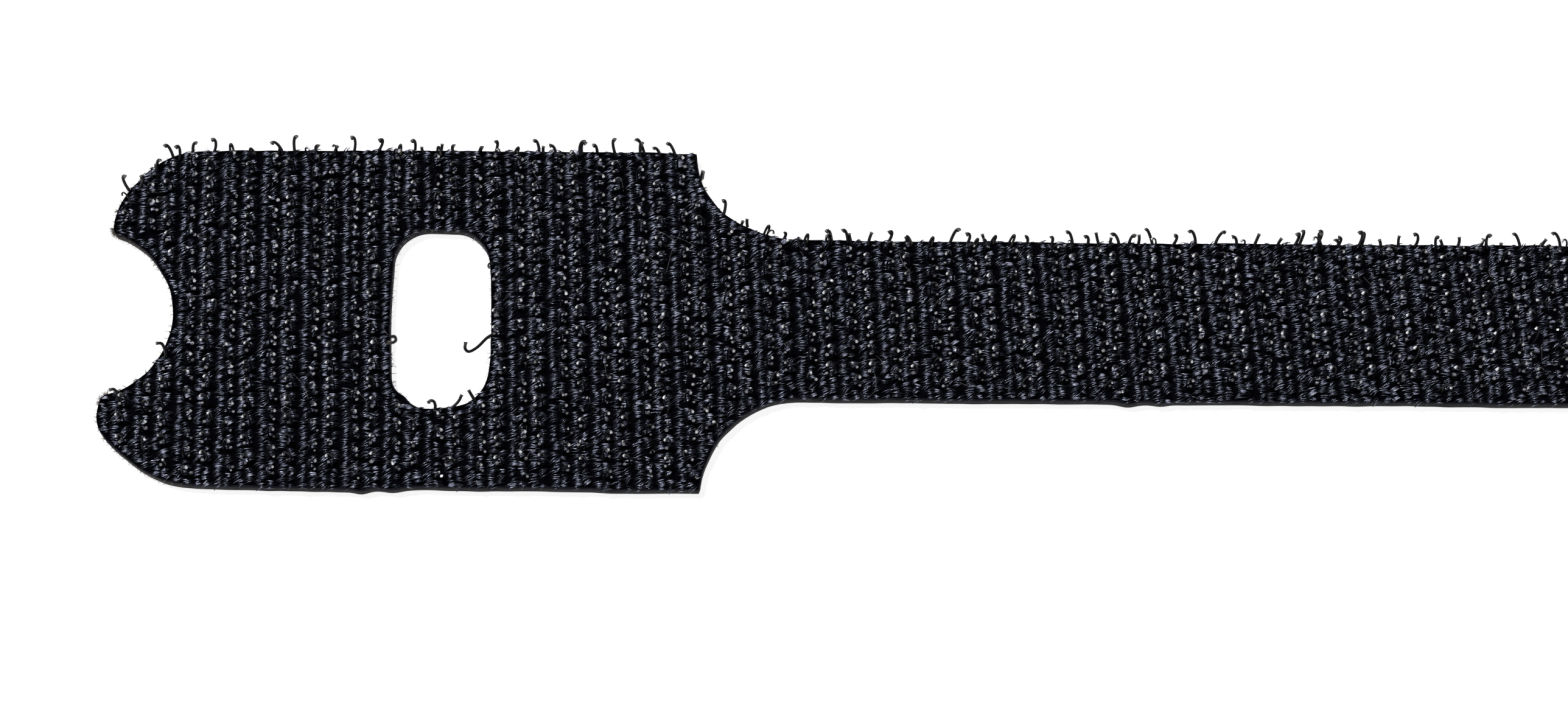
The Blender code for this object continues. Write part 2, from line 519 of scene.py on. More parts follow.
@dataclass(frozen=True)
class YarnFinish(Finish):
    """Glossy dyed filament yarn, as in the floats of the weave, with painted light on each ply: a painted
    highlight along its crest and painted shade at its ends.
    """

    dark: Colour = (0.0004, 0.0005, 0.0022)
    light: Colour = (0.0090, 0.0100, 0.0230)
    # The top colour of the ramp is a painted highlight on the crests of the plies.
    painted_highlight: Colour = (0.372, 0.388, 0.482)
    stops: tuple[float, float, float] = (0.15, 0.58, 0.95)
    painted_light_sharpness: float = 2.2
    ply_share: float = 0.6
    patch_share: float = 0.35
    patch_size: float = 0.00035
    patch_detail: float = 3.0
    roughness: Range = (0.18, 0.38)
    shine: float = 1.0
    shine_tint: Colour = (0.76, 0.82, 1.0)
    refraction: float = 1.52
    filament_pitch: float = 0.00005
    filament_depth: float = 0.000012
    filament_stretch: float = 0.10
    slant: float = math.radians(17.0)

    def paint(self, sheet: NodeSheet, shader: bpy.types.bpy_prop_collection) -> None:
        """Vary the dye from ply to ply, paint a highlight on each crest and shade at the ends, and run fine
        filaments along it.
        """
        place = sheet.place()
        patches = sheet.noise(place, self.patch_size, self.patch_detail)
        tone = sheet.maths("MULTIPLY", sheet.attribute("tone"), 1.0 - self.ply_share)
        tone = sheet.maths("MULTIPLY_ADD", sheet.attribute("ply"), self.ply_share, tone)
        # Painted light: the crest mask makes the middle of each ply pale as a highlight and its ends dark as
        # shade where they dive into the cloth.
        crest = sheet.maths("SINE", sheet.maths("MULTIPLY", sheet.attribute("along"), math.pi))
        crest = sheet.maths("POWER", crest, self.painted_light_sharpness)
        mixed = sheet.maths("MULTIPLY_ADD", patches, self.patch_share, tone)
        tone_and_painted_light = sheet.maths("MULTIPLY", crest, mixed)
        colour = sheet.ramp(tone_and_painted_light, self.stops, (self.dark, self.light, self.painted_highlight))
        sheet.feed(shader["Base Color"], colour)
        inputs = {0: tone, 3: self.roughness[1], 4: self.roughness[0]}
        sheet.feed(shader["Roughness"], sheet.add("ShaderNodeMapRange", inputs).outputs[0])
        sheet.feed(shader["IOR"], self.refraction)
        sheet.feed(shader["Specular IOR Level"], self.shine)
        sheet.feed(shader["Specular Tint"], (*self.shine_tint, 1.0))

        inputs = {"Vector": place, "Rotation": (0.0, 0.0, -self.slant)}
        inputs["Scale"] = (self.filament_stretch, 1.0, 1.0)
        lengthwise = sheet.add("ShaderNodeMapping", inputs).outputs[0]
        filaments = sheet.noise(lengthwise, self.filament_pitch, 0.0)
        bump = sheet.add("ShaderNodeBump", {"Height": filaments, "Distance": self.filament_depth})
        sheet.feed(shader["Normal"], bump.outputs[0])


@dataclass(frozen=True)
class ClothFinish(Finish):
    """Matt dyed cloth: a woven ground, a cut edge or a brushed back."""

    dark: Colour
    light: Colour
    roughness: float
    shine: float = 0.3
    sheen: float = 0.0
    stops: Range = (0.30, 0.72)
    patch_size: float = 0.0006
    patch_detail: float = 4.0
    grain_size: float = 0.00009
    grain_detail: float = 2.0
    grain_depth: float = 0.00002

    def paint(self, sheet: NodeSheet, shader: bpy.types.bpy_prop_collection) -> None:
        """Lay patches of dye and a fine fibrous grain."""
        place = sheet.place()
        patches = sheet.noise(place, self.patch_size, self.patch_detail)
        sheet.feed(shader["Base Color"], sheet.ramp(patches, self.stops, (self.dark, self.light)))
        sheet.feed(shader["Roughness"], self.roughness)
        sheet.feed(shader["Specular IOR Level"], self.shine)
        sheet.feed(shader["Sheen Weight"], self.sheen)
        grain = sheet.noise(place, self.grain_size, self.grain_detail)
        bump = sheet.add("ShaderNodeBump", {"Height": grain, "Distance": self.grain_depth})
        sheet.feed(shader["Normal"], bump.outputs[0])


@dataclass(frozen=True)
class MonofilamentFinish(Finish):
    """Smooth extruded nylon filament, dyed black, painted pale over one stretch of its length as a highlight.
    """

    glint_span: Range
    colour: Colour = (0.0025, 0.0025, 0.0050)
    # The near white is a painted highlight, where the head or the cut end catches the light.
    painted_glint: Colour = (0.92, 0.92, 0.95)
    stops: Range = (0.25, 0.75)
    least_glint: float = 0.42
    roughness: float = 0.28
    shine: float = 0.45

    def paint(self, sheet: NodeSheet, shader: bpy.types.bpy_prop_collection) -> None:
        """Fade into the painted highlight and out of it, brighter on some filaments than on others."""
        inputs = {0: sheet.attribute("along"), 1: self.glint_span[0], 2: self.glint_span[1], 3: 0.0, 4: math.pi}
        rise_and_fall = sheet.maths("SINE", sheet.add("ShaderNodeMapRange", inputs).outputs[0])
        more = 1.0 - self.least_glint
        glint_strength = sheet.maths("MULTIPLY_ADD", sheet.attribute("tone"), more, self.least_glint)
        # The mask of the painted highlight along the filament.
        worn = sheet.maths("MULTIPLY", rise_and_fall, glint_strength)
        sheet.feed(shader["Base Color"], sheet.ramp(worn, self.stops, (self.colour, self.painted_glint)))
        sheet.feed(shader["Roughness"], self.roughness)
        sheet.feed(shader["Specular IOR Level"], self.shine)


@dataclass(frozen=True)
class EdgeBump:
    """A small swelling of the cut edge, or a bite out of it where the height is below zero."""

    x: float
    y: float
    width: float
    height: float


@dataclass
class TieOutline:
    """The die-cut shape that both tapes share, with the slot and the notch."""

    length: float = 0.200
    strap_width: float = 0.012
    head_length: float = 0.0414
    head_width: float = 0.0254
    head_corner_radius: float = 0.0059
    notch_depth: float = 0.0048
    notch_radius: float = 0.0064
    tip_radius: float = 0.0006
    slot_from_end: float = 0.0235
    slot_width: float = 0.00705
    slot_length: float = 0.0138
    slot_corner_radius: float = 0.0027
    askew: float = math.radians(1.4)
    arc_step: float = math.radians(4.0)
    edge_step: float = 0.00030
    wave: float = 0.00007
    wave_length: float = 0.0042
    ripple: float = 0.5
    ripples_per_wave: float = 3.1
    least_run: float = 1e-7
    probe: float = 1e-5
    bumps: tuple[EdgeBump, ...] = (
        EdgeBump(-0.0815, -0.0127, 0.0012, 0.00020),
        EdgeBump(-0.0793, -0.0127, 0.0016, 0.00018),
        EdgeBump(-0.0285, -0.0060, 0.0014, 0.00019),
        EdgeBump(-0.0262, -0.0060, 0.0013, 0.00013),
        EdgeBump(-0.0791, -0.0063, 0.0011, 0.00016),
        EdgeBump(-0.0771, -0.0069, 0.0022, -0.00010),
        EdgeBump(-0.1001, -0.0082, 0.0036, 0.00050),
        EdgeBump(-0.0972, -0.0116, 0.0060, -0.00036),
        EdgeBump(-0.0984, 0.0107, 0.0060, -0.00034),
        EdgeBump(-0.0952, 0.0006, 0.0090, 0.00022),
        EdgeBump(-0.0967, 0.0041, 0.0040, 0.00010),
        EdgeBump(-0.0740, 0.0127, 0.0340, 0.00017),
        EdgeBump(-0.0853, -0.0127, 0.0070, 0.00016),
        EdgeBump(-0.0620, -0.0127, 0.0060, 0.00012),
        EdgeBump(-0.0762, 0.0066, 0.0050, 0.00012),
        EdgeBump(-0.0736, 0.0055, 0.0040, 0.00016),
        EdgeBump(-0.0733, -0.0052, 0.0040, 0.00022),
        EdgeBump(-0.0800, 0.0010, 0.0080, -0.00022),
        EdgeBump(-0.0545, 0.0067, 0.0050, 0.00024),
        EdgeBump(-0.0578, -0.0098, 0.0050, 0.00022),
        EdgeBump(-0.0558, -0.0073, 0.0050, 0.00018),
    )

    @property
    def head_end(self) -> float:
        """Where the head's tips are."""
        return -self.length / 2

    def arc(self, centre: Place, radius: float, start: float, end: float) -> list[Place]:
        """Points along an arc.

        Args:
            centre: middle of the arc.
            radius: its radius.
            start: first angle, in radians.
            end: last angle.

        Returns:
            The points, both ends included.
        """
        steps = max(2, math.ceil(abs(end - start) / self.arc_step))
        angles = [start + (end - start) * step / steps for step in range(steps + 1)]
        return [(centre[0] + radius * math.cos(a), centre[1] + radius * math.sin(a)) for a in angles]

    def cut(self) -> list[Place]:
        """The outer edge, from the bottom of the notch round to the tail and back."""
        half_head = self.head_width / 2
        half_strap = self.strap_width / 2
        notch_x = self.head_end + self.notch_depth - self.notch_radius
        tip_x = self.head_end + self.tip_radius
        tip_y = math.sqrt((self.notch_radius + self.tip_radius) ** 2 - (tip_x - notch_x) ** 2)
        tip_angle = math.atan2(tip_y, tip_x - notch_x)
        corner = min(self.head_corner_radius, half_head - tip_y)
        shoulder = half_head - half_strap
        shoulder_x = self.head_end + self.head_length + shoulder
        upper = self.arc((notch_x, 0.0), self.notch_radius, 0.0, tip_angle)
        upper += self.arc((tip_x, tip_y), self.tip_radius, tip_angle + math.pi, math.pi)[1:]
        upper += self.arc((self.head_end + corner, half_head - corner), corner, math.pi, math.pi / 2)
        upper += self.arc((shoulder_x, half_head), shoulder, math.pi, 1.5 * math.pi)
        upper += self.arc((self.length / 2 - half_strap, 0.0), half_strap, math.pi / 2, 0.0)
        return self.laid(upper + [(x, -y) for x, y in reversed(upper[1:-1])])

    def slot(self) -> list[Place]:
        """The slot's edge, a rectangle with rounded corners."""
        centre_x = self.head_end + self.slot_from_end
        radius = self.slot_corner_radius
        side_x = self.slot_width / 2 - radius
        side_y = self.slot_length / 2 - radius
        points: list[Place] = []
        for quarter, (sign_x, sign_y) in enumerate([(1, 1), (-1, 1), (-1, -1), (1, -1)]):
            start = quarter * math.pi / 2
            centre = (centre_x + sign_x * side_x, sign_y * side_y)
            points += self.arc(centre, radius, start, start + math.pi / 2)
        return self.laid(points)

    def laid(self, points: list[Place]) -> list[Place]:
        """Pull an outline askew, the near side towards the tail, as the cloth lies."""
        return [(x - y * math.tan(self.askew), y) for x, y in points]

    def bump_at(self, x: float | np.ndarray, y: float | np.ndarray) -> float | np.ndarray:
        """How far the edge swells at one place, or at many, because of its bumps."""
        swell = 0.0
        for bump in self.bumps:
            away = np.hypot(x - bump.x, y - bump.y) / (bump.width / 2)
            swell = swell + bump.height * np.exp(-(away**2))
        return swell

    def worn(self, outline: list[Place], inset: float = 0.0) -> list[Place]:
        """Follow an outline in short even steps, with the waves and bumps of a real cut.

        Args:
            outline: a closed outline that runs clockwise, as the cut does.
            inset: how far inside the outline to stay.

        Returns:
            The new points.
        """
        ends = list(zip(outline, outline[1:] + outline[:1]))
        points: list[Place] = []
        for (ax, ay), (bx, by) in ends:
            run = math.hypot(bx - ax, by - ay)
            if run < self.least_run:
                continue
            out_x, out_y = (ay - by) / run, (bx - ax) / run
            steps = max(1, round(run / self.edge_step))
            for step in range(steps):
                x = ax + (bx - ax) * step / steps
                y = ay + (by - ay) * step / steps
                spot = Vector((x, y, 0.0)) / self.wave_length
                wave = noise.noise(spot) + self.ripple * noise.noise(spot * self.ripples_per_wave)
                shift = self.wave * wave + (self.bump_at(x, y) - inset)
                points.append((x + out_x * shift, y + out_y * shift))
        return points

    @staticmethod
    def depth_inside(places: np.ndarray, outline: list[Place]) -> np.ndarray:
        """How deep each place lies inside a closed outline.

        Args:
            places: one row of x and y for each place.
            outline: the outline's points.

        Returns:
            Distances to the outline, below zero outside it.
        """
        start = np.array(outline)
        run = np.roll(start, -1, axis=0) - start
        within = np.zeros(len(places), bool)
        nearest = np.full(len(places), np.inf)
        for (ax, ay), (dx, dy) in zip(start, run):
            length_squared = dx * dx + dy * dy
            if length_squared == 0.0:
                continue
            from_x, from_y = places[:, 0] - ax, places[:, 1] - ay
            along = np.clip((from_x * dx + from_y * dy) / length_squared, 0.0, 1.0)
            nearest = np.minimum(nearest, np.hypot(from_x - along * dx, from_y - along * dy))
            if dy != 0.0:
                crosses = (ay > places[:, 1]) != (ay + dy > places[:, 1])
                within ^= crosses & (from_x < from_y * dx / dy)
        return np.where(within, nearest, -nearest)

    def depth_on_cloth(self, places: np.ndarray) -> np.ndarray:
        """Distance of each place from the cut edges, below zero where there is no cloth."""
        nominal = np.minimum(self.depth_inside(places, self.cut()), -self.depth_inside(places, self.slot()))
        return nominal + self.bump_at(places[:, 0], places[:, 1])

    def held_inside(self, places: np.ndarray, reach: np.ndarray, least: float) -> np.ndarray:
        """Push places back onto the cloth.

        Args:
            places: one row of x and y for each place.
            reach: from each place to the point of it that has to stay inside.
            least: how deep that point has to lie.

        Returns:
            The places, moved straight in from the nearest edge.
        """
        tested = places + reach
        depth = self.depth_on_cloth(tested)
        slope_x = (self.depth_on_cloth(tested + (self.probe, 0.0)) - depth) / self.probe
        slope_y = (self.depth_on_cloth(tested + (0.0, self.probe)) - depth) / self.probe
        missing = np.maximum(0.0, least - depth)
        return places + np.column_stack((slope_x * missing, slope_y * missing))

    def area(self) -> float:
        """Flat area of the cloth, without the slot."""
        total = 0.0
        for outline, sign in ((self.cut(), 1.0), (self.slot(), -1.0)):
            ends = zip(outline, outline[1:] + outline[:1])
            total += sign * abs(sum(ax * by - bx * ay for (ax, ay), (bx, by) in ends)) / 2
        return total


@dataclass
class Weave:
    """The lattice that the floats and the hooks of the upper tape follow."""

    outline: TieOutline
    rib_pitch: float = 0.000725
    skew: float = math.radians(3.0)
    float_pitch: float = 0.000346
    hook_pitch: float = 0.001385
    ribs_per_hook_rib: int = 2
    hook_phases: tuple[float, ...] = (0.0, 0.62, 0.89, 0.28)
    spare: float = 0.0015
    crowding: float = 0.00011
    meander: float = 0.00007
    meander_length: float = 0.005

    def place(self, rib: float, y: float) -> Place:
        """Where a rib runs at a height across the tie."""
        spot = Vector((rib * self.rib_pitch, y, 0.0)) / self.meander_length
        aside = self.crowding if rib % self.ribs_per_hook_rib else 0.0
        aside += self.meander * noise.noise(spot)
        return rib * self.rib_pitch - y * math.tan(self.skew) + aside, y

    def along_ribs(
        self, pitch: float, step: int, first: int, phases: tuple[float, ...]
    ) -> list[tuple[int, int, float, float]]:
        """Walk over the lattice.

        Args:
            pitch: distance between places along a rib.
            step: every how many ribs there is a row.
            first: the first rib's offset from the middle one.
            phases: where each row's places start, as shares of the pitch.

        Returns:
            The row's number, the place's number in it, x and y, on the cloth or off it.
        """
        half_rows = math.ceil((self.outline.length / 2 + self.spare) / (self.rib_pitch * step))
        half_count = math.ceil((self.outline.head_width / 2 + self.spare) / pitch)
        rows = []
        for row in range(-half_rows, half_rows + 1):
            phase = phases[row % len(phases)]
            for count in range(-half_count - math.ceil(phase), half_count + 1):
                rows.append((row, count, *self.place(row * step + first, (count + phase) * pitch)))
        return rows


class RibKind(Enum):
    """The two kinds of rib, which take turns along the tie."""

    HOOKED = 0
    PLAIN = 1


@dataclass
class YarnFloats:
    """The short slanted floats of glossy yarn that cover the ground, each of a few plies."""

    weave: Weave
    kind: RibKind
    yarn: Material
    seed: int
    length: float = 0.00090
    ply_width: float = 0.000106
    ply_pitch: float = 0.000116
    flatten: float = 0.95
    rise: float = 0.00017
    dip: float = 0.00008
    ends: float = 0.45
    slant: float = math.radians(17.0)
    seat_height: float = 0.00101
    edge_margin: float = 0.00010
    end_margin: float = 0.00003
    off_cloth: float = 0.00017
    dropped_share: float = 0.03
    shift: tuple[float, float, float] = (0.00011, 0.00006, 0.00004)
    aside: float = 0.30
    twist: float = 0.80
    half_shares: Range = (0.55, 1.05)
    dip_shares: Range = (0.6, 1.3)
    rise_shares: Range = (0.45, 1.25)
    radius_shares: Range = (0.38, 0.58)
    spread: Spread = Spread(turn=22.0, lean=24.0, roll=14.0, size=0.20)
    shade: Drift = Drift(middle=0.46, most=0.25, row_step=0.7, length=0.0012, layer=0.5)
    plies: int = 3
    variants: int = 12
    segments: int = 3
    sides: int = 3

    def ply(self, scatter: Scatter, sizes: dict[str, Socket], place: float, rng: random.Random) -> Socket:
        """Sweep one ply of a float, a little out of line with the next.

        Args:
            scatter: the tree that it is added to.
            sizes: the tree's named sizes.
            place: where the ply lies across the float, in ply pitches.
            rng: the source of the differences between plies.

        Returns:
            The ply's mesh, which knows its own shade.
        """
        def share(name: str, factor: float) -> Socket:
            """A named size times a factor."""
            return scatter.sheet.maths("MULTIPLY", sizes[name], factor)

        aside = share("Ply pitch", place + rng.uniform(-self.aside, self.aside))
        twist = share("Ply pitch", rng.uniform(-self.twist, self.twist))
        back = share("Half length", -rng.uniform(*self.half_shares))
        front = share("Half length", rng.uniform(*self.half_shares))
        down = share("Dip of the ends", -rng.uniform(*self.dip_shares))
        crest = share("Rise", HANDLE_OVER_CREST * rng.uniform(*self.rise_shares))
        radius = share("Ply width", rng.uniform(*self.radius_shares))
        maths = scatter.sheet.maths
        start_side = maths("SUBTRACT", aside, twist)
        end_side = maths("ADD", aside, twist)
        points = [
            scatter.vector(back, start_side, down),
            scatter.vector(maths("MULTIPLY", back, 0.5), start_side, crest),
            scatter.vector(maths("MULTIPLY", front, 0.5), end_side, crest),
            scatter.vector(front, end_side, down),
        ]
        width = scatter.spindle(sizes["Share of width at the ends"])
        swept = scatter.strand(points, self.segments, self.sides, radius, width)
        return scatter.mark(swept, "ply", rng.random())

    def tree(self) -> Scatter:
        """Build the tree that weaves one float on every point."""
        scatter = Scatter("yarn_floats", self.seed)
        sizes = scatter.sizes({
            "Half length": self.length / 2,
            "Ply width": self.ply_width,
            "Ply pitch": self.ply_pitch,
            "Rise": self.rise,
            "Dip of the ends": self.dip,
            "Share of width at the ends": self.ends,
            "Flatten": self.flatten,
        })
        rng = random.Random(self.seed)
        places = [ply - (self.plies - 1) / 2 for ply in range(self.plies)]
        shapes = []
        for _ in range(self.variants):
            plies = [self.ply(scatter, sizes, place, rng) for place in places]
            shapes.append(scatter.joined("GeometryNodeJoinGeometry", plies))
        scatter.close(scatter.set_on_points(shapes, self.spread, sizes["Flatten"]), self.yarn)
        return scatter

    def places(self) -> list[tuple[int, float, float]]:
        """Find the floats' middles.

        A hook's own foot takes the place of one float, and the floats that the cut would
        have halved are pushed back onto the cloth.

        Returns:
            The rib's number, x and y of each.
        """
        weave = self.weave
        step = weave.ribs_per_hook_rib
        floats_per_hook = round(weave.hook_pitch / weave.float_pitch)
        phases = tuple(floats_per_hook * phase + 0.5 * self.kind.value for phase in weave.hook_phases)
        rows = weave.along_ribs(weave.float_pitch, step, self.kind.value, phases)
        if self.kind is RibKind.HOOKED:
            rows = [row for row in rows if row[1] % floats_per_hook]
        places = np.array([(x, y) for _, _, x, y in rows])
        near = weave.outline.depth_on_cloth(places) > -self.off_cloth
        ribs = [row[0] for row, is_near in zip(rows, near) if is_near]
        places = places[near]
        half = np.array((math.cos(self.slant), math.sin(self.slant))) * self.length / 2
        for reach in (half, -half):
            places = weave.outline.held_inside(places, reach, -self.end_margin)
        places = weave.outline.held_inside(places, np.zeros(2), self.edge_margin)
        return [(rib, x, y) for rib, (x, y) in zip(ribs, places)]

    def build(self) -> list[Piece]:
        """Weave the floats of the head and of the strap, each as a piece."""
        rng = random.Random(self.seed)
        outline = self.weave.outline
        parts = {"head": Points(), "strap_front": Points(), "strap_back": Points()}
        neck = outline.head_end + outline.head_length
        middle = (neck + outline.length / 2) / 2
        for rib, x, y in self.places():
            if rng.random() < self.dropped_share:
                continue
            part = "head" if x < neck else "strap_front" if x < middle else "strap_back"
            at = Vector((x, y, self.seat_height)) + Vector([rng.uniform(-far, far) for far in self.shift])
            parts[part].put(at, turn=self.slant, shade=self.shade.at(rib, y))
        tree = self.tree()
        kind = self.kind.name.lower()
        return [tree.run(f"{kind}_rib_floats_{part}", points.mesh(part)) for part, points in parts.items()]


@dataclass
class HookField:
    """The monofilament hooks, and the cut stub that stands beside each."""

    weave: Weave
    hook_finish: Material
    stub_finish: Material
    seed: int = 20
    height: float = 0.00140
    reach: float = 0.00032
    belly: float = 0.00030
    tip_height: float = 0.00120
    belly_share: float = 0.70
    crown_share: float = 1.34
    crown_reach: float = 0.3
    diameter: float = 0.00015
    flare: float = 1.60
    flare_start: float = 0.86
    stub_height: float = 0.00046
    stub_gap: float = 0.00030
    stub_bend: float = 0.1
    stub_handles: Range = (0.4, 0.7)
    stub_flare_start: float = 0.6
    lean: float = math.radians(18.0)
    edge_lean: float = math.radians(16.0)
    edge_reach: float = 0.0012
    ruffled_share: float = 0.20
    ruffled_edge_share: float = 0.75
    ruffled_turn: float = 1.1
    ruffled_lean: float = 0.35
    ruffled_roll: float = 0.45
    ruffled_size: Range = (0.62, 1.05)
    foot_height: float = 0.00095
    edge_margin: float = 0.00050
    hook_spread: Spread = Spread(turn=12.0, lean=4.0, roll=4.0, size=0.04)
    stub_spread: Spread = Spread(turn=40.0, lean=14.0, roll=14.0, size=0.22)
    shade: Drift = Drift(middle=0.55, most=0.45, row_step=0.9, length=0.02, layer=2.5)
    hook_segments: int = 8
    stub_segments: int = 2
    sides: int = 5

    def hook_tree(self) -> Scatter:
        """Build the tree that sets a hook on every point."""
        scatter = Scatter("hooks", self.seed)
        sizes = scatter.sizes({
            "Height": self.height,
            "Reach": self.reach,
            "Belly": self.belly,
            "Tip height": self.tip_height,
            "Filament radius": self.diameter / 2,
            "Flare of the cut end": self.flare,
        })
        maths = scatter.sheet.maths
        belly = maths("MULTIPLY", sizes["Belly"], -1.0)
        crown = maths("MULTIPLY", sizes["Reach"], self.crown_reach)
        points = [
            scatter.vector(0.0, 0.0, 0.0),
            scatter.vector(belly, 0.0, maths("MULTIPLY", sizes["Height"], self.belly_share)),
            scatter.vector(crown, 0.0, maths("MULTIPLY", sizes["Height"], self.crown_share)),
            scatter.vector(sizes["Reach"], 0.0, sizes["Tip height"]),
        ]
        width = scatter.flared(sizes["Flare of the cut end"], self.flare_start)
        shape = scatter.strand(points, self.hook_segments, self.sides, sizes["Filament radius"], width)
        scatter.close(scatter.set_on_points([shape], self.hook_spread), self.hook_finish)
        return scatter

    def stub_tree(self) -> Scatter:
        """Build the tree that sets a short cut stub on every point."""
        scatter = Scatter("stubs", self.seed + 1)
        sizes = scatter.sizes({
            "Height": self.stub_height,
            "Filament radius": self.diameter / 2,
            "Flare of the cut end": self.flare,
        })

        def at(aside: float, up: float) -> Socket:
            """A point of the stub, in shares of its height."""
            maths = scatter.sheet.maths
            return scatter.vector(
                maths("MULTIPLY", sizes["Height"], aside), 0.0, maths("MULTIPLY", sizes["Height"], up)
            )

        bent = [at(self.stub_bend, share) for share in self.stub_handles]
        points = [at(0.0, 0.0), *bent, at(-self.stub_bend, 1.0)]
        width = scatter.flared(sizes["Flare of the cut end"], self.stub_flare_start)
        shape = scatter.strand(points, self.stub_segments, self.sides, sizes["Filament radius"], width)
        scatter.close(scatter.set_on_points([shape], self.stub_spread), self.stub_finish)
        return scatter

    def outward_lean(self, y: float, depth: float) -> float:
        """How much further a hook by a long edge leans out over it."""
        nearness = max(0.0, 1.0 - depth / self.edge_reach)
        return math.copysign(self.edge_lean * nearness, y)

    def build(self) -> list[Piece]:
        """Set the hooks and the stubs."""
        rng = random.Random(self.seed)
        weave = self.weave
        rows = weave.along_ribs(weave.hook_pitch, weave.ribs_per_hook_rib, 0, weave.hook_phases)
        depths = weave.outline.depth_on_cloth(np.array([(x, y) for _, _, x, y in rows]))
        hooks, stubs = Points(), Points()
        for (row, _, x, y), depth in zip(rows, depths):
            if depth < self.edge_margin:
                continue
            facing = 1 if row % 2 else -1
            turn = 0.0 if facing > 0 else math.pi
            lean = self.lean + self.outward_lean(y, depth)
            roll, size = 0.0, 1.0
            near_edge = depth < self.edge_reach
            if rng.random() < (self.ruffled_edge_share if near_edge else self.ruffled_share):
                turn += rng.uniform(-self.ruffled_turn, self.ruffled_turn)
                lean += rng.uniform(-self.ruffled_lean, self.ruffled_lean)
                roll = rng.uniform(-self.ruffled_roll, self.ruffled_roll)
                size = rng.uniform(*self.ruffled_size)
            # The shade sets how strong each hook's and stub's painted highlight is.
            shade = self.shade.at(row, y)
            hooks.put(Vector((x, y, self.foot_height)), turn, -facing * lean, roll, size, shade)
            stub = Vector((x + facing * self.stub_gap, y, self.foot_height))
            stubs.put(stub, turn, -facing * lean, shade=shade)
        return [
            self.hook_tree().run("monofilament_hooks", hooks.mesh("hooks")),
            self.stub_tree().run("monofilament_stubs", stubs.mesh("stubs")),
        ]


class EdgeShape(Enum):
    """What stands out over the far cut edges, and the share of each."""

    TALL_HOOK = 0.42
    LOW_HOOK = 0.18
    STUB = 0.26
    LOOP = 0.14


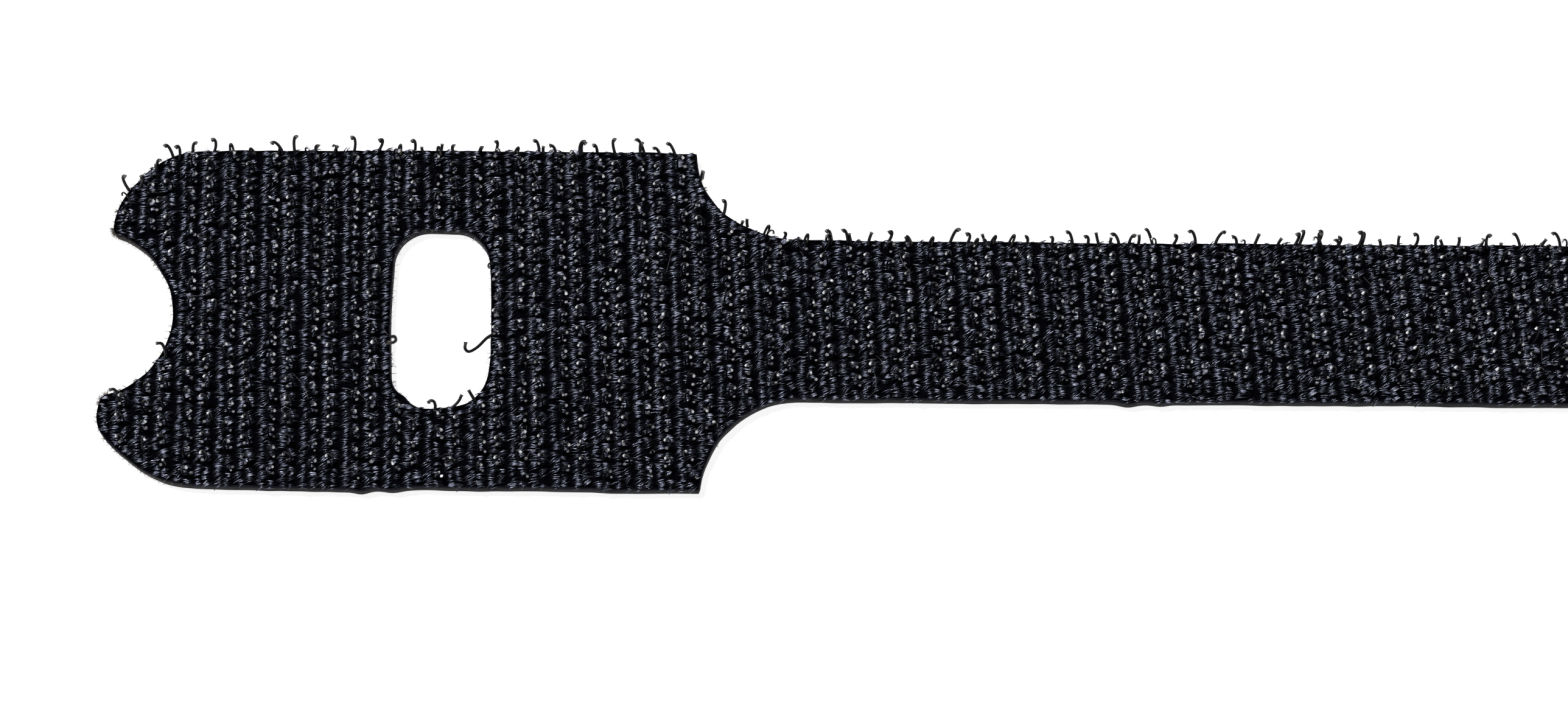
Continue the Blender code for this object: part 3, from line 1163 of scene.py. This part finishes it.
@dataclass
class EdgeHooks:
    """The hooks, stubs and uncut loops that lean out over the far cut edges, each in its own way."""

    weave: Weave
    seed: int = 41
    foot_height: float = 0.00100
    inset: Range = (0.00006, 0.00030)
    lean: Range = (math.radians(28.0), math.radians(54.0))
    side_lean: float = 0.45
    second_share: float = 0.40
    tall: Range = (0.00090, 0.00130)
    low: Range = (0.00050, 0.00080)
    stub: Range = (0.00045, 0.00095)
    head_reach: Range = (0.00014, 0.00027)
    belly: Range = (0.05, 0.26)
    belly_height: float = 0.55
    crown: Place = (0.3, 1.25)
    tip_height: float = 0.92
    neck_swell: float = 1.2
    stub_bend: float = 0.12
    stub_handles: Range = (0.4, 0.7)
    cut_swell: Range = (1.3, 1.7)
    loop_half_width: float = 0.00012
    loop_roundness: float = 0.7
    loop_swell: float = 0.8
    left_share: float = 0.65
    turn: float = 0.5
    aside: float = 0.3
    steps: int = 8
    probe_step: float = 0.0001

    def feet(self) -> list[Place]:
        """Where each hook rib leaves the cloth on its far side, but for the slot and the notch."""
        weave = self.weave
        no_phase = (0.0,)
        rows = weave.along_ribs(self.probe_step, weave.ribs_per_hook_rib, 0, no_phase)
        places = np.array([(x, y) for _, _, x, y in rows])
        depths = weave.outline.depth_on_cloth(places)
        slot_x = weave.outline.head_end + weave.outline.slot_from_end
        slot_y = weave.outline.slot_length / 2 + self.inset[1]
        notch_end = weave.outline.head_end + weave.outline.notch_depth
        feet = []
        for index in range(len(rows) - 1):
            _, _, x, y = rows[index]
            leaves_cloth = rows[index][0] == rows[index + 1][0] and depths[index] > 0.0 >= depths[index + 1]
            by_slot = abs(x - slot_x) < weave.outline.slot_width and abs(y) < slot_y
            in_notch = x < notch_end and y < 0.0
            if leaves_cloth and not by_slot and not in_notch:
                feet.append((x, y + depths[index]))
        return feet

    def outline_of(self, shape: EdgeShape, rng: random.Random) -> tuple[list[Place], list[float]]:
        """Draw a shape flat.

        Args:
            shape: what to draw.
            rng: the source of the differences.

        Returns:
            Points sideways and upwards from the foot, and the swell at each.
        """
        even = [1.0] * (self.steps + 1)
        if shape is EdgeShape.LOOP:
            height = rng.uniform(*self.low)
            turns = [math.pi * step / self.steps for step in range(self.steps + 1)]
            sides = [-self.loop_half_width * math.cos(turn) for turn in turns]
            heights = [height * math.sin(turn) ** self.loop_roundness for turn in turns]
            return list(zip(sides, heights)), [self.loop_swell] * (self.steps + 1)
        if shape is EdgeShape.STUB:
            height = rng.uniform(*self.stub)
            bend = rng.uniform(-self.stub_bend, self.stub_bend) * height
            bent = [(bend, height * share) for share in self.stub_handles]
            handles = [(0.0, 0.0), *bent, (0.0, height)]
            swells = even[:-1] + [self.cut_swell[0]]
        else:
            height = rng.uniform(*(self.tall if shape is EdgeShape.TALL_HOOK else self.low))
            facing = -1.0 if rng.random() < self.left_share else 1.0
            reach = facing * rng.uniform(*self.head_reach)
            belly = -facing * rng.uniform(*self.belly) * height
            crown = (belly * self.crown[0], height * self.crown[1])
            tip = (reach, height * self.tip_height)
            handles = [(0.0, 0.0), (belly, height * self.belly_height), crown, tip]
            swells = even[:-2] + [self.neck_swell, rng.uniform(*self.cut_swell)]
        curve = interpolate_bezier(*[Vector((*handle, 0.0)) for handle in handles], self.steps + 1)
        return [(point.x, point.y) for point in curve], swells

    def draw(self, lines: Lines) -> None:
        """Add one shape for every hook rib that meets a far edge."""
        rng = random.Random(self.seed)
        shapes = list(EdgeShape)
        shares = [shape.value for shape in shapes]
        feet = self.feet()
        feet += [(x + self.weave.rib_pitch / 2, y) for x, y in feet if rng.random() < self.second_share]
        for x, y in feet:
            shape = rng.choices(shapes, shares)[0]
            flat, swells = self.outline_of(shape, rng)
            lean = rng.uniform(*self.lean)
            slope = rng.uniform(-self.side_lean, self.side_lean)
            turn = rng.uniform(-self.turn, self.turn)
            aside = rng.uniform(-self.aside, self.aside) * self.weave.rib_pitch
            foot = Vector((x + aside, y - rng.uniform(*self.inset), self.foot_height))
            up = Vector((slope, math.sin(lean), math.cos(lean)))
            across = Vector((math.cos(turn), math.sin(turn), 0.0))
            lines.add([foot + across * s + up * u for s, u in flat], swells, rng.random())


@dataclass
class StrayFilaments:
    """The few filaments that the cut left bent over the slot and the tips, along given routes."""

    height: float = 0.00125
    rise: float = 0.0002
    tone: float = 0.4
    tone_step: float = 0.08
    end_swell: float = 1.3
    steps: int = 4
    routes: tuple[tuple[Place, ...], ...] = (
        ((-0.07262, -0.00125), (-0.07325, -0.00175), (-0.07385, -0.00252), (-0.07440, -0.00296),
         (-0.07468, -0.00282), (-0.07464, -0.00240)),
        ((-0.07668, -0.00722), (-0.07662, -0.00688), (-0.07672, -0.00662), (-0.07692, -0.00664),
         (-0.07702, -0.00684)),
        ((-0.07555, -0.00700), (-0.07505, -0.00655), (-0.07480, -0.00610)),
        ((-0.07390, -0.00640), (-0.07415, -0.00605), (-0.07435, -0.00575)),
        ((-0.08010, -0.00165), (-0.07972, -0.00170), (-0.07958, -0.00205), (-0.07975, -0.00232),
         (-0.08010, -0.00240)),
        ((-0.09560, -0.00330), (-0.09566, -0.00290), (-0.09590, -0.00245), (-0.09625, -0.00250)),
        ((-0.09870, -0.00650), (-0.09872, -0.00612), (-0.09895, -0.00588), (-0.09920, -0.00600)),
    )

    def draw(self, lines: Lines) -> None:
        """Add each route as a smooth line that rises off the cloth and ends a little swollen."""
        for number, route in enumerate(self.routes):
            knots = [Vector((x, y, self.height + self.rise * i)) for i, (x, y) in enumerate(route)]
            knots = [2 * knots[0] - knots[1], *knots, 2 * knots[-1] - knots[-2]]
            line = []
            for before, start, end, after in zip(knots, knots[1:], knots[2:], knots[3:]):
                handles = (start + (end - before) / 6, end - (after - start) / 6)
                line += interpolate_bezier(start, *handles, end, self.steps + 1)[:-1]
            line.append(knots[-2])
            swells = [1.0] * (len(line) - 1) + [self.end_swell]
            lines.add(line, swells, self.tone + self.tone_step * number)


@dataclass
class Fuzz:
    """Fine broken fibres: short ones along the rubbed edges, long ones lying on the weave."""

    outline: TieOutline
    seed: int = 51
    rubbed_to: float = -0.0935
    edge_fibres: int = 520
    slot_fibres: int = 170
    hair_tries: int = 200
    fibre_length: Range = (0.00012, 0.00042)
    hair_length: Range = (0.0007, 0.0024)
    hair_height: Range = (0.00122, 0.00145)
    root_height: Range = (0.00070, 0.00118)
    fibre_swells: tuple[float, ...] = (1.0, 0.9, 0.6)
    fibre_curl: float = 1.3
    fibre_rise: Range = (-0.25, 0.35)
    fibre_aim: float = 0.9
    hair_steps: int = 6
    hair_curl: float = 1.5
    hair_wander: float = 0.15
    hair_rise: float = 0.08

    def fibre(self, lines: Lines, root: Vector, heading: float, length: float, rng: random.Random) -> None:
        """Add a short fibre that curls away from its root."""
        curl = rng.uniform(-self.fibre_curl, self.fibre_curl)
        steps = len(self.fibre_swells) - 1
        line = [root]
        for step in range(steps):
            angle = heading + curl * (step + 0.5) / steps
            rise = rng.uniform(*self.fibre_rise)
            line.append(line[-1] + Vector((math.cos(angle), math.sin(angle), rise)) * length / steps)
        lines.add(line, list(self.fibre_swells), rng.random())

    def along_edge(self, lines: Lines, edge: list[Place], count: int, rng: random.Random) -> None:
        """Set fibres at random places of an edge, given clockwise round the cloth."""
        for _ in range(count):
            index = rng.randrange(len(edge) - 1)
            (ax, ay), (bx, by) = edge[index], edge[index + 1]
            if math.hypot(bx - ax, by - ay) > 2 * self.outline.edge_step:
                continue
            heading = math.atan2(bx - ax, ay - by) + rng.uniform(-self.fibre_aim, self.fibre_aim)
            root = Vector((ax, ay, rng.uniform(*self.root_height)))
            self.fibre(lines, root, heading, rng.uniform(*self.fibre_length), rng)

    def hair(self, lines: Lines, rng: random.Random) -> None:
        """Lay a long thin hair on the hooks and the weave, if its middle meets the cloth."""
        x = rng.uniform(-0.5, 0.5) * self.outline.length
        y = rng.uniform(-0.5, 0.5) * self.outline.head_width
        length = rng.uniform(*self.hair_length)
        if self.outline.depth_on_cloth(np.array([(x, y)]))[0] < length / 2:
            return
        angle = rng.uniform(0.0, 2 * math.pi)
        curl = rng.uniform(-self.hair_curl, self.hair_curl)
        line = [Vector((x, y, rng.uniform(*self.hair_height)))]
        for _ in range(self.hair_steps):
            angle += curl / self.hair_steps + rng.uniform(-self.hair_wander, self.hair_wander)
            run = Vector((math.cos(angle), math.sin(angle), rng.uniform(-self.hair_rise, self.hair_rise)))
            line.append(line[-1] + run * length / self.hair_steps)
        lines.add(line, [1.0] * len(line), rng.random())

    def draw(self, fuzz: Lines, hairs: Lines) -> None:
        """Add the fuzz of the rubbed end, and among the hairs the fibres round the slot."""
        rng = random.Random(self.seed)
        rubbed = [place for place in self.outline.worn(self.outline.cut()) if place[0] < self.rubbed_to]
        self.along_edge(fuzz, rubbed, self.edge_fibres, rng)
        self.along_edge(hairs, self.outline.worn(self.outline.slot()), self.slot_fibres, rng)
        for _ in range(self.hair_tries):
            self.hair(hairs, rng)


class SolidWorks:
    """Closed flat solids and the cuts made in them."""

    @staticmethod
    def from_builder(name: str, builder: bmesh.types.BMesh) -> Piece:
        """Make an object with outward faces from a bmesh, and free the bmesh."""
        bmesh.ops.recalc_face_normals(builder, faces=builder.faces)
        mesh = bpy.data.meshes.new(name)
        builder.to_mesh(mesh)
        builder.free()
        obj = bpy.data.objects.new(name, mesh)
        bpy.context.collection.objects.link(obj)
        return obj

    @classmethod
    def prism(cls, name: str, outline: list[Place], bottom: float, top: float) -> Piece:
        """Raise a flat outline into a solid between two heights."""
        builder = bmesh.new()
        floor = builder.faces.new([builder.verts.new((x, y, bottom)) for x, y in outline])
        raised = bmesh.ops.extrude_face_region(builder, geom=[floor])["geom"]
        corners = [item for item in raised if isinstance(item, bmesh.types.BMVert)]
        bmesh.ops.translate(builder, verts=corners, vec=(0.0, 0.0, top - bottom))
        return cls.from_builder(name, builder)

    @staticmethod
    def carved(name: str, stock: Piece, cuts: dict[str, Piece], material: Material) -> Piece:
        """Carve a solid with Booleans, settle the result and dress it.

        Args:
            name: the finished piece's name.
            stock: the solid to carve, which is used up.
            cuts: the other solid of each Boolean operation, which is used up as well.
            material: the finish of the carved solid.

        Returns:
            The carved solid, as a plain mesh.
        """
        for operation, other in cuts.items():
            modifier = stock.modifiers.new(operation, "BOOLEAN")
            modifier.operation = operation
            modifier.solver = "EXACT"
            modifier.object = other
        piece = settled(name, stock)
        for used in [stock, *cuts.values()]:
            bpy.data.objects.remove(used, do_unlink=True)
        piece.data.materials.clear()
        piece.data.materials.append(material)
        return piece


@dataclass
class HookTape:
    """The upper tape: woven ground, floats, hooks and the melted rim of the cut."""

    outline: TieOutline
    bottom: float
    top: float
    groove_depth: float = 0.00013
    float_cover: float = 0.00020
    plain_rise: float = 0.00015
    hooked_length: float = 0.00084
    rim_width: float = 0.00011
    rim_height: float = 0.00056
    rim_drop: float = 0.00004
    rim_inset: float = 0.3
    rim_swell: float = 0.45
    rim_swell_length: float = 0.0012
    rim_sides: int = 8
    filament_radius: float = 0.000116
    filament_sides: int = 6
    fibre_radius: float = 0.000014
    fibre_sides: int = 3
    cut_over: float = 0.001
    hooked_seed: int = 11
    plain_seed: int = 12
    hooked_yarn: YarnFinish = YarnFinish("rib_yarn")
    # The plain ribs' paler top colour is their painted highlight.
    plain_yarn: YarnFinish = YarnFinish(
        "plain_rib_yarn", painted_highlight=(0.262, 0.275, 0.365), roughness=(0.20, 0.40)
    )
    ground_cloth: ClothFinish = ClothFinish(
        "ground_cloth",
        dark=(0.0003, 0.0003, 0.0010),
        light=(0.0012, 0.0012, 0.0030),
        roughness=0.8,
        shine=0.02,
    )
    melted_nylon: ClothFinish = ClothFinish(
        "melted_nylon",
        dark=(0.0010, 0.0010, 0.0030),
        light=(0.0140, 0.0140, 0.0220),
        roughness=0.60,
        shine=0.05,
        patch_size=0.0004,
    )
    # Each filament finish paints a highlight near its tip: a bright dot on the hooks, a fainter one on the
    # stubs, a faint brownish one on the edge filaments.
    hook_nylon: MonofilamentFinish = MonofilamentFinish("hook_monofilament", glint_span=(0.84, 1.12))
    stub_nylon: MonofilamentFinish = MonofilamentFinish(
        "stub_monofilament", glint_span=(0.60, 1.40), painted_glint=(0.26, 0.26, 0.28)
    )
    edge_nylon: MonofilamentFinish = MonofilamentFinish(
        "edge_monofilament", glint_span=(0.80, 1.10), painted_glint=(0.07, 0.06, 0.05), roughness=0.40, shine=0.4
    )
    rubbed_fuzz: ClothFinish = ClothFinish(
        "fuzz", dark=(0.050, 0.036, 0.026), light=(0.22, 0.17, 0.13), roughness=0.6
    )
    loose_hair: ClothFinish = ClothFinish(
        "loose_hair", dark=(0.05, 0.05, 0.06), light=(0.22, 0.22, 0.25), roughness=0.4, shine=0.5
    )

    def ribbed_slab(self, weave: Weave, crest: float) -> Piece:
        """The woven ground before it is cut: a long slab with ribs across it."""
        half_depth = self.outline.head_width / 2 + self.cut_over
        lean = half_depth * math.tan(weave.skew)
        half_ribs = math.ceil((self.outline.length / 2 + lean + self.cut_over) / weave.rib_pitch)
        section = []
        for rib in range(-half_ribs, half_ribs + 1):
            x = rib * weave.rib_pitch
            section += [(x, crest), (x + weave.rib_pitch / 2, crest - self.groove_depth)]
        section = [(section[0][0], self.bottom), *section, (section[-1][0], self.bottom)]
        builder = bmesh.new()
        near = [builder.verts.new((x + lean, -half_depth, z)) for x, z in section]
        far = [builder.verts.new((x - lean, half_depth, z)) for x, z in section]
        builder.faces.new(near)
        builder.faces.new(list(reversed(far)))
        for index in range(len(section)):
            after = (index + 1) % len(section)
            builder.faces.new((near[index], far[index], far[after], near[after]))
        return SolidWorks.from_builder("slab", builder)

    def ground(self, weave: Weave) -> Piece:
        """Cut the ribbed ground to the outline."""
        edge = self.outline.worn(self.outline.cut())
        slot = self.outline.worn(self.outline.slot())
        heights = (self.bottom - self.cut_over, self.top + self.cut_over)
        cuts = {
            "INTERSECT": SolidWorks.prism("edge", edge, *heights),
            "DIFFERENCE": SolidWorks.prism("slot", slot, *heights),
        }
        slab = self.ribbed_slab(weave, self.top - self.float_cover)
        return SolidWorks.carved("woven_ground", slab, cuts, self.ground_cloth.material())

    def rim(self) -> Piece:
        """Run an upright bead of melted yarn along the top of every cut edge."""
        lines = Lines()
        for outline in (self.outline.cut(), self.outline.slot()):
            edge = self.outline.worn(outline, inset=self.rim_width * self.rim_inset)
            line = [Vector((x, y, 0.0)) for x, y in edge]
            swells = [1.0 + self.rim_swell * noise.noise(point / self.rim_swell_length) for point in line]
            lines.add(line, swells, closed=True)
        taller = self.rim_height / self.rim_width
        lift = self.top - self.rim_drop - self.rim_height / 2
        melted = self.melted_nylon.material()
        return lines.build("melted_rim", self.rim_width / 2, self.rim_sides, melted, taller, lift)

    def loose_ends(self, weave: Weave) -> list[Piece]:
        """Draw the hooks over the edges, and the fuzz."""
        filaments, fuzz, hairs = Lines(), Lines(), Lines()
        EdgeHooks(weave).draw(filaments)
        StrayFilaments().draw(filaments)
        Fuzz(self.outline).draw(fuzz, hairs)
        nylon = self.edge_nylon.material()
        return [
            filaments.build("edge_filaments", self.filament_radius, self.filament_sides, nylon),
            fuzz.build("edge_fuzz", self.fibre_radius, self.fibre_sides, self.rubbed_fuzz.material()),
            hairs.build("loose_hairs", self.fibre_radius, self.fibre_sides, self.loose_hair.material()),
        ]

    def build(self) -> list[Piece]:
        """Build every piece of the tape and dress it."""
        weave = Weave(self.outline)
        ground = self.ground(weave)
        hooked_yarn, plain_yarn = self.hooked_yarn.material(), self.plain_yarn.material()
        hooked = YarnFloats(weave, RibKind.HOOKED, hooked_yarn, self.hooked_seed, length=self.hooked_length)
        plain = YarnFloats(weave, RibKind.PLAIN, plain_yarn, self.plain_seed, rise=self.plain_rise)
        hooks = HookField(weave, self.hook_nylon.material(), self.stub_nylon.material())
        dressed = [self.rim(), *hooked.build(), *plain.build(), *hooks.build(), *self.loose_ends(weave)]
        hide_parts("hook_tape")
        self.outline.area()
        return [ground, *dressed]


@dataclass
class LoopTape:
    """The lower tape: a plain cloth with a brushed loop pile on its underside."""

    outline: TieOutline
    bottom: float
    top: float
    pile_depth: float = 0.00027
    loop_pitch: float = 0.00068
    loop_span: float = 0.00086
    loop_radius: float = 0.000033
    loop_drop: float = 1.15
    loop_swell: float = 1.3
    segments: int = 4
    sides: int = 3
    seed: int = 31
    spread: Spread = Spread(turn=180.0, lean=68.0, roll=10.0, size=0.15)
    cloth_finish: ClothFinish = ClothFinish(
        "loop_cloth",
        dark=(0.0015, 0.0015, 0.0026),
        light=(0.0110, 0.0110, 0.0140),
        roughness=0.8,
        sheen=0.1,
        patch_size=0.00030,
        grain_size=0.00014,
        grain_depth=0.00007,
    )
    pile_finish: ClothFinish = ClothFinish(
        "loop_pile",
        dark=(0.007, 0.007, 0.009),
        light=(0.024, 0.024, 0.029),
        roughness=0.55,
        shine=0.5,
        sheen=0.15,
    )

    def cloth(self) -> Piece:
        """Cut the plain cloth, without its pile."""
        edge = self.outline.worn(self.outline.cut())
        slot = self.outline.worn(self.outline.slot())
        stock = SolidWorks.prism("cloth", edge, self.bottom + self.pile_depth, self.top)
        cuts = {"DIFFERENCE": SolidWorks.prism("slot", slot, self.bottom - self.top, 2 * self.top)}
        return SolidWorks.carved("loop_tape_cloth", stock, cuts, self.cloth_finish.material())

    def pile(self) -> Piece:
        """Brush the loops out of the underside."""
        scatter = Scatter("loop_pile", self.seed)
        sizes = scatter.sizes({
            "Half span": self.loop_span / 2,
            "Depth": self.pile_depth,
            "Filament radius": self.loop_radius,
        })
        maths = scatter.sheet.maths
        low = maths("MULTIPLY", sizes["Depth"], -self.loop_drop)
        back = maths("MULTIPLY", sizes["Half span"], -1.0)
        points = [
            scatter.vector(back, 0.0, 0.0),
            scatter.vector(maths("MULTIPLY", back, self.loop_swell), 0.0, low),
            scatter.vector(maths("MULTIPLY", sizes["Half span"], self.loop_swell), 0.0, low),
            scatter.vector(sizes["Half span"], 0.0, 0.0),
        ]
        shape = scatter.strand(points, self.segments, self.sides, sizes["Filament radius"])
        scatter.close(scatter.set_on_points([shape], self.spread), self.pile_finish.material())
        return scatter.run("brushed_loop_pile", self.pile_places().mesh("pile"))

    def pile_places(self) -> Points:
        """A jittered grid of places under the cloth."""
        rng = random.Random(self.seed)
        half_x = int(self.outline.length / 2 / self.loop_pitch) + 1
        half_y = int(self.outline.head_width / 2 / self.loop_pitch) + 1
        places = np.array([
            ((i + rng.uniform(-0.5, 0.5)) * self.loop_pitch, (j + rng.uniform(-0.5, 0.5)) * self.loop_pitch)
            for i in range(-half_x, half_x + 1)
            for j in range(-half_y, half_y + 1)
        ])
        points = Points()
        for x, y in places[self.outline.depth_on_cloth(places) > self.loop_span / 2]:
            points.put(Vector((x, y, self.bottom + self.pile_depth)))
        return points

    def build(self) -> list[Piece]:
        """Build the cloth and its pile and dress them."""
        cloth = self.cloth()
        pile = self.pile()
        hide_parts("loop_tape")
        self.outline.area()
        return [cloth, pile]


@dataclass(frozen=True)
class Softbox:
    """A square studio light that points at the tie."""

    name: str
    place: tuple[float, float, float]
    size: float
    power: float
    colour: Colour = (1.0, 1.0, 1.0)

    def build(self, target: Vector) -> None:
        """Hang the light and aim it."""
        data = bpy.data.lights.new(self.name, "AREA")
        data.shape = "SQUARE"
        data.size = self.size
        data.energy = self.power
        data.color = self.colour
        lamp = bpy.data.objects.new(self.name, data)
        lamp.location = self.place
        lamp.rotation_euler = (target - Vector(self.place)).to_track_quat("-Z", "Y").to_euler()
        bpy.context.collection.objects.link(lamp)


@dataclass
class Studio:
    """A plain pale floor, soft light and the camera."""

    target: tuple[float, float, float] = (-0.05248, -0.00245, 0.0012)
    image_width: float = 2576.0
    focal_pixels: float = 5200.0
    pixels_per_metre: float = 23500.0
    elevation: float = math.radians(68.0)
    camera_roll: float = math.radians(0.4)
    sensor_width: float = 36.0
    nearest: float = 0.005
    floor_size: float = 6.0
    floor_drop: float = 0.00003
    floor_colour: Colour = (0.45, 0.45, 0.46)
    floor_glow: float = 0.90
    floor_roughness: float = 0.8
    backdrop_radius: float = 2.4
    backdrop_height: float = 1.0
    backdrop_sides: int = 48
    fill: float = 0.06
    softboxes: tuple[Softbox, ...] = (
        Softbox("key_softbox", (-0.35, 0.20, 0.76), 0.18, 7.9),
    )

    @staticmethod
    def seen_directly(sheet: NodeSheet) -> Socket:
        """A factor of 1 for camera rays, reflections and what shows through glass."""
        path = sheet.add("ShaderNodeLightPath")
        seen = sheet.maths("MAXIMUM", path.outputs["Is Camera Ray"], path.outputs["Is Glossy Ray"])
        return sheet.maths("MAXIMUM", seen, path.outputs["Is Transmission Ray"])

    def floor(self) -> None:
        """Lay the floor and its curved backdrop, which show white and keep the tie's shadow."""
        material = self.white()
        half = self.floor_size / 2
        corners = [(-half, -half), (half, -half), (half, half), (-half, half)]
        flat = [(x, y, -self.floor_drop) for x, y in corners]
        self.stage("floor", flat, [(0, 1, 2, 3)], material)
        angles = [2 * math.pi * side / self.backdrop_sides for side in range(self.backdrop_sides)]
        ring = [(self.backdrop_radius * math.cos(a), self.backdrop_radius * math.sin(a)) for a in angles]
        wall = [(x, y, z) for z in (-self.floor_drop, self.backdrop_height) for x, y in ring]
        count = self.backdrop_sides
        faces = [(i, i + count, (i + 1) % count + count, (i + 1) % count) for i in range(count)]
        self.stage("backdrop", wall, faces, material)

    @staticmethod
    def stage(
        name: str, points: list[tuple[float, ...]], faces: list[tuple[int, ...]], material: Material
    ) -> None:
        """Make one surface of the studio, which is no part of the tie."""
        mesh = bpy.data.meshes.new(name)
        mesh.from_pydata(points, [], faces)
        mesh.materials.append(material)
        surface = bpy.data.objects.new(name, mesh)
        bpy.context.collection.objects.link(surface)

    def white(self) -> Material:
        """The white of the floor: partly lit, so that it takes shadows, and partly plain white."""
        material = bpy.data.materials.new("white_floor")
        material.use_nodes = True
        sheet = NodeSheet(material.node_tree)
        shader = material.node_tree.nodes["Principled BSDF"].inputs
        sheet.feed(shader["Base Color"], (*self.floor_colour, 1.0))
        sheet.feed(shader["Roughness"], self.floor_roughness)
        sheet.feed(shader["Specular IOR Level"], 0.0)
        sheet.feed(shader["Emission Color"], (1.0, 1.0, 1.0, 1.0))
        glow = sheet.maths("MULTIPLY", self.seen_directly(sheet), self.floor_glow)
        sheet.feed(shader["Emission Strength"], glow)
        return material

    def world(self) -> None:
        """Surround the tie with an even soft fill."""
        world = bpy.data.worlds.new("studio")
        world.use_nodes = True
        background = world.node_tree.nodes["Background"].inputs
        background["Color"].default_value = (1.0, 1.0, 1.0, 1.0)
        background["Strength"].default_value = self.fill
        bpy.context.scene.world = world

    def camera(self) -> None:
        """Set the camera that takes the picture."""
        data = bpy.data.cameras.new("camera")
        data.sensor_fit = "HORIZONTAL"
        data.sensor_width = self.sensor_width
        data.lens = self.focal_pixels / self.image_width * self.sensor_width
        data.clip_start = self.nearest
        camera = bpy.data.objects.new("camera", data)
        tilt = Matrix.Rotation(math.pi / 2 - self.elevation, 4, "X")
        distance = self.focal_pixels / self.pixels_per_metre
        away = tilt.to_3x3() @ Vector((0.0, 0.0, distance))
        rolled = tilt @ Matrix.Rotation(self.camera_roll, 4, "Z")
        camera.matrix_world = Matrix.Translation(Vector(self.target) + away) @ rolled
        bpy.context.collection.objects.link(camera)
        bpy.context.scene.camera = camera

    def build(self) -> None:
        """Set up the whole studio."""
        self.camera()
        self.floor()
        self.world()
        for softbox in self.softboxes:
            softbox.build(Vector(self.target))
        bpy.context.scene.view_settings.view_transform = "Standard"


def report(pieces: list[Piece]) -> None:
    """Log each finished piece and make it ride on the tie."""
    for piece in pieces:
        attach(piece, BODY)
        piece.data.calc_loop_triangles()
        LOG.info("%s: %d triangles", piece.name, len(piece.data.loop_triangles))


def main() -> None:
    """Build the studio and both tapes, from the bottom up."""
    logging.basicConfig(level=logging.INFO, format="%(message)s")
    Studio().build()
    outline = TieOutline()
    loop_low, loop_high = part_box("loop_tape")
    hook_low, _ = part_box("hook_tape")
    report(LoopTape(outline, loop_low.z, loop_high.z).build())
    report(HookTape(outline, hook_low.z, hook_low.z + HOOK_GROUND).build())


if __name__ == "__main__":
    main()
